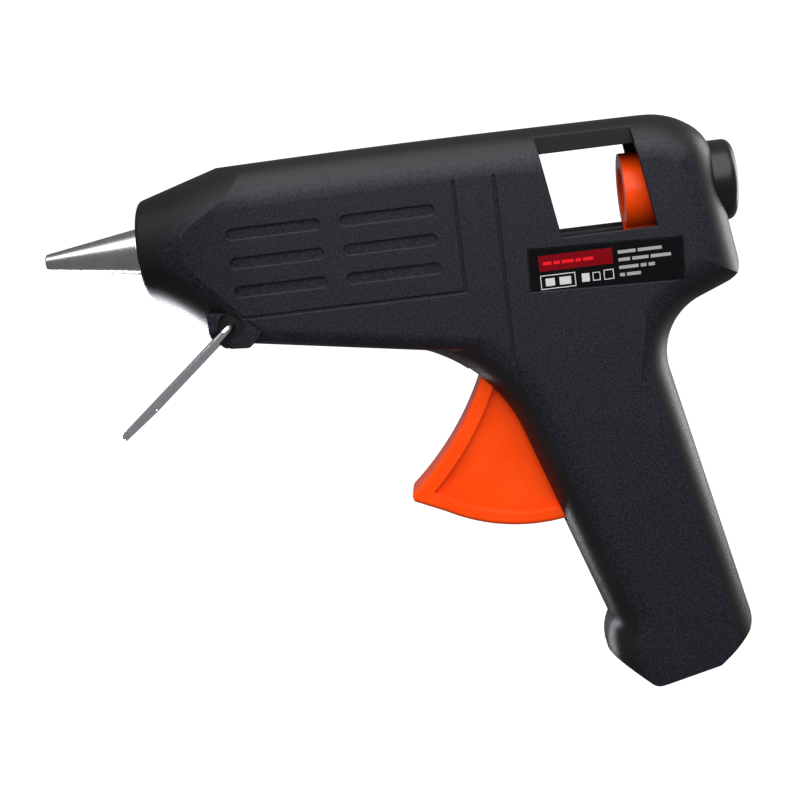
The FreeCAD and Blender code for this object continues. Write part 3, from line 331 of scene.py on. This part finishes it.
MATERIALS = {
    "shell_plastic": shell_plastic(),
    "smooth_black": smooth_black(),
    "orange_plastic": orange_plastic(),
    "nozzle_metal": turned_metal("nozzle_metal", (0.54, 0.515, 0.485), (0.44, 0.42, 0.40), 0.2, 0.28),
    "cast_aluminium": plain_metal("cast_aluminium", (0.62, 0.62, 0.62), (0.5, 0.5, 0.5), 0.45, 0.6),
    "heater_film": plain_solid("heater_film", (0.5, 0.24, 0.04), (0.6, 0.32, 0.06), 0.25, 0.4),
    "contact_brass": plain_metal("contact_brass", (0.8, 0.6, 0.28), (0.7, 0.5, 0.22), 0.25, 0.4),
    "heater_ceramic": plain_solid("heater_ceramic", (0.2, 0.2, 0.19), (0.26, 0.25, 0.24), 0.6, 0.8),
    "white_ceramic": plain_solid("white_ceramic", (0.8, 0.78, 0.73), (0.7, 0.68, 0.62), 0.5, 0.7),
    "spring_steel": plain_metal("spring_steel", (0.62, 0.62, 0.63), (0.5, 0.5, 0.51), 0.25, 0.4),
    "silicone": plain_solid("silicone", (0.42, 0.07, 0.04), (0.5, 0.09, 0.05), 0.55, 0.7),
    "label_gloss": rating_label(),
    "chrome_wire": plain_metal("chrome_wire", (0.86, 0.87, 0.88), (0.74, 0.75, 0.76), 0.08, 0.18),
    "lead_insulation": plain_solid("lead_insulation", (0.75, 0.75, 0.73), (0.68, 0.68, 0.66),
                                   0.4, 0.55),
    "terminal_plastic": plain_solid("terminal_plastic", (0.78, 0.77, 0.73), (0.7, 0.69, 0.65),
                                    0.35, 0.5),
    "screw_steel": plain_metal("screw_steel", (0.45, 0.45, 0.46), (0.32, 0.32, 0.33), 0.3, 0.45),
}


def paint_nodes():
    for part in frame["record"]["subparts"]:
        piece = frame["nodes"][part["node"]]
        piece.data.materials.clear()
        piece.data.materials.append(MATERIALS[part["material_slot"]])


def add_spring():
    """The return spring as a fixed copy of its mesh between its two seats; the part itself is hidden.
    """
    coil = bpy.data.objects.new("spring_coil", frame["nodes"]["return_spring"].data.copy())
    bpy.context.scene.collection.objects.link(coil)
    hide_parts("return_spring")
    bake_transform(coil)


# ---------------------------------------------------------------- surroundings
FLOOR_REACH = 3.0
FLOOR_DROP_MM = 0.3
FLOOR_GLOW = 1.1
SEEN_STRENGTH = 1.15   # the white that the camera sees behind the gun
LIGHT_STRENGTH = 0.25  # what the surroundings give the gun
def add_floor():
    data = bpy.data.meshes.new("floor")
    far = FLOOR_REACH
    corners = [(-far, -far, 0), (far, -far, 0), (far, far, 0), (-far, far, 0)]
    data.from_pydata(corners, [], [(0, 1, 2, 3)])
    floor = bpy.data.objects.new("floor", data)
    floor.location.z = -FLOOR_DROP_MM * MM
    bpy.context.scene.collection.objects.link(floor)
    material = bpy.data.materials.new("floor_white")
    material.use_nodes = True
    shader = next(n for n in material.node_tree.nodes if n.type == "BSDF_PRINCIPLED")
    shader.inputs["Base Color"].default_value = (0.02, 0.02, 0.02, 1.0)
    shader.inputs["Roughness"].default_value = 0.9
    shader.inputs["Emission Color"].default_value = (1.0, 1.0, 1.0, 1.0)
    shader.inputs["Emission Strength"].default_value = FLOOR_GLOW
    floor.visible_glossy = False
    floor.visible_diffuse = False
    data.materials.append(material)


def add_light(name, at, aim, size_mm, energy, colour=(1.0, 1.0, 1.0)):
    data = bpy.data.lights.new(name, "AREA")
    data.shape = "RECTANGLE"
    data.size = size_mm[0] * MM
    data.size_y = size_mm[1] * MM
    data.energy = energy
    data.color = colour
    light = bpy.data.objects.new(name, data)
    light.location = gun(*at)
    direction = gun(*aim) - light.location
    light.rotation_euler = direction.to_track_quat("-Z", "Y").to_euler()
    bpy.context.scene.collection.objects.link(light)


def add_world():
    world = bpy.data.worlds.new("studio")
    bpy.context.scene.world = world
    world.use_nodes = True
    tree = world.node_tree
    background = next(n for n in tree.nodes if n.type == "BACKGROUND")
    seen = tree.nodes.new("ShaderNodeBackground")
    seen.inputs["Color"].default_value = (1.0, 1.0, 1.0, 1.0)
    seen.inputs["Strength"].default_value = SEEN_STRENGTH
    background.inputs["Color"].default_value = (0.93, 0.95, 1.0, 1.0)
    background.inputs["Strength"].default_value = LIGHT_STRENGTH
    path = tree.nodes.new("ShaderNodeLightPath")
    mix = tree.nodes.new("ShaderNodeMixShader")
    output = next(n for n in tree.nodes if n.type == "OUTPUT_WORLD")
    tree.links.new(path.outputs["Is Camera Ray"], mix.inputs["Fac"])
    tree.links.new(background.outputs["Background"], mix.inputs[1])
    tree.links.new(seen.outputs["Background"], mix.inputs[2])
    tree.links.new(mix.outputs["Shader"], output.inputs["Surface"])


bpy.context.scene.view_settings.view_transform = "Standard"
add_camera()
add_world()
add_floor()
add_light("overhead_soft", (95, -450, 550), (95, 0, -20), (1200, 900), 13.0)
add_light("rear_soft", (430, 120, 10), (150, 0, -60), (140, 320), 1.3)
add_light("grip_strip", (-120, 200, -170), (140, 0, -95), (100, 260), 1.6, (0.92, 0.94, 1.0))
paint_nodes()
add_spring()
